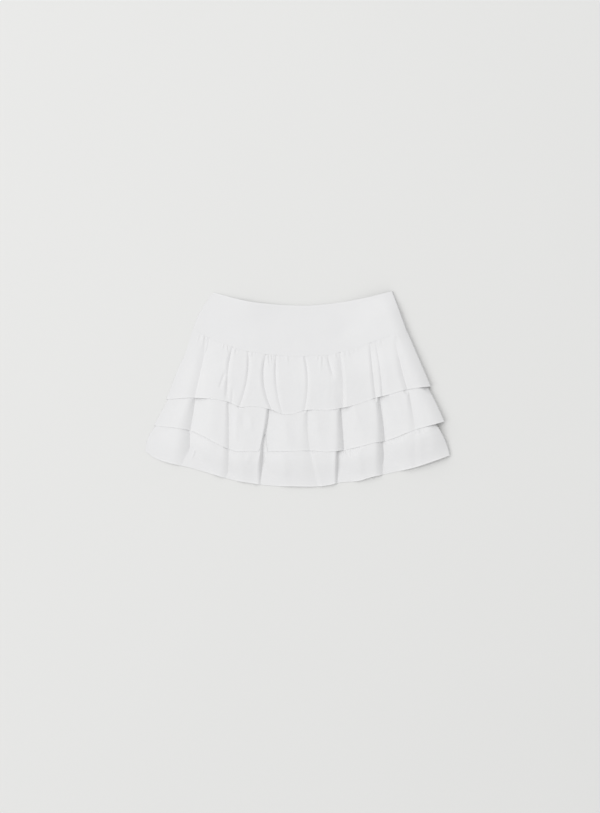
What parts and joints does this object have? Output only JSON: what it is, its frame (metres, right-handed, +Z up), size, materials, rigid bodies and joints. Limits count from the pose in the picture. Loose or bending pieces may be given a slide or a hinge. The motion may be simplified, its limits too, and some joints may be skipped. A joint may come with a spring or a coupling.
{
  "type": "cancan skirt",
  "caption": "Short cancan skirt laid flat: a wide curved yoke over overlapping gathered ruffle tiers with narrow hems.",
  "frame": {"origin": "centre of the underside, on the surface that the skirt lies on", "axes": "+X across the skirt, to the right when its front is seen; +Y from the hem to the waist; +Z up, out of the front"},
  "size_m": [0.584, 0.3759, 0.0135],
  "materials": {
    "yoke_cloth": "matt",
    "tier_cloth": "matt"
  },
  "bodies": {
    "root": {"yoke_front": "yoke_cloth", "yoke_back": "yoke_cloth", "upper_tier_front": "tier_cloth", "upper_tier_back": "tier_cloth", "middle_tier_front": "tier_cloth", "middle_tier_back": "tier_cloth", "lower_tier_front": "tier_cloth", "lower_tier_back": "tier_cloth"}
  },
  "joints": []
}
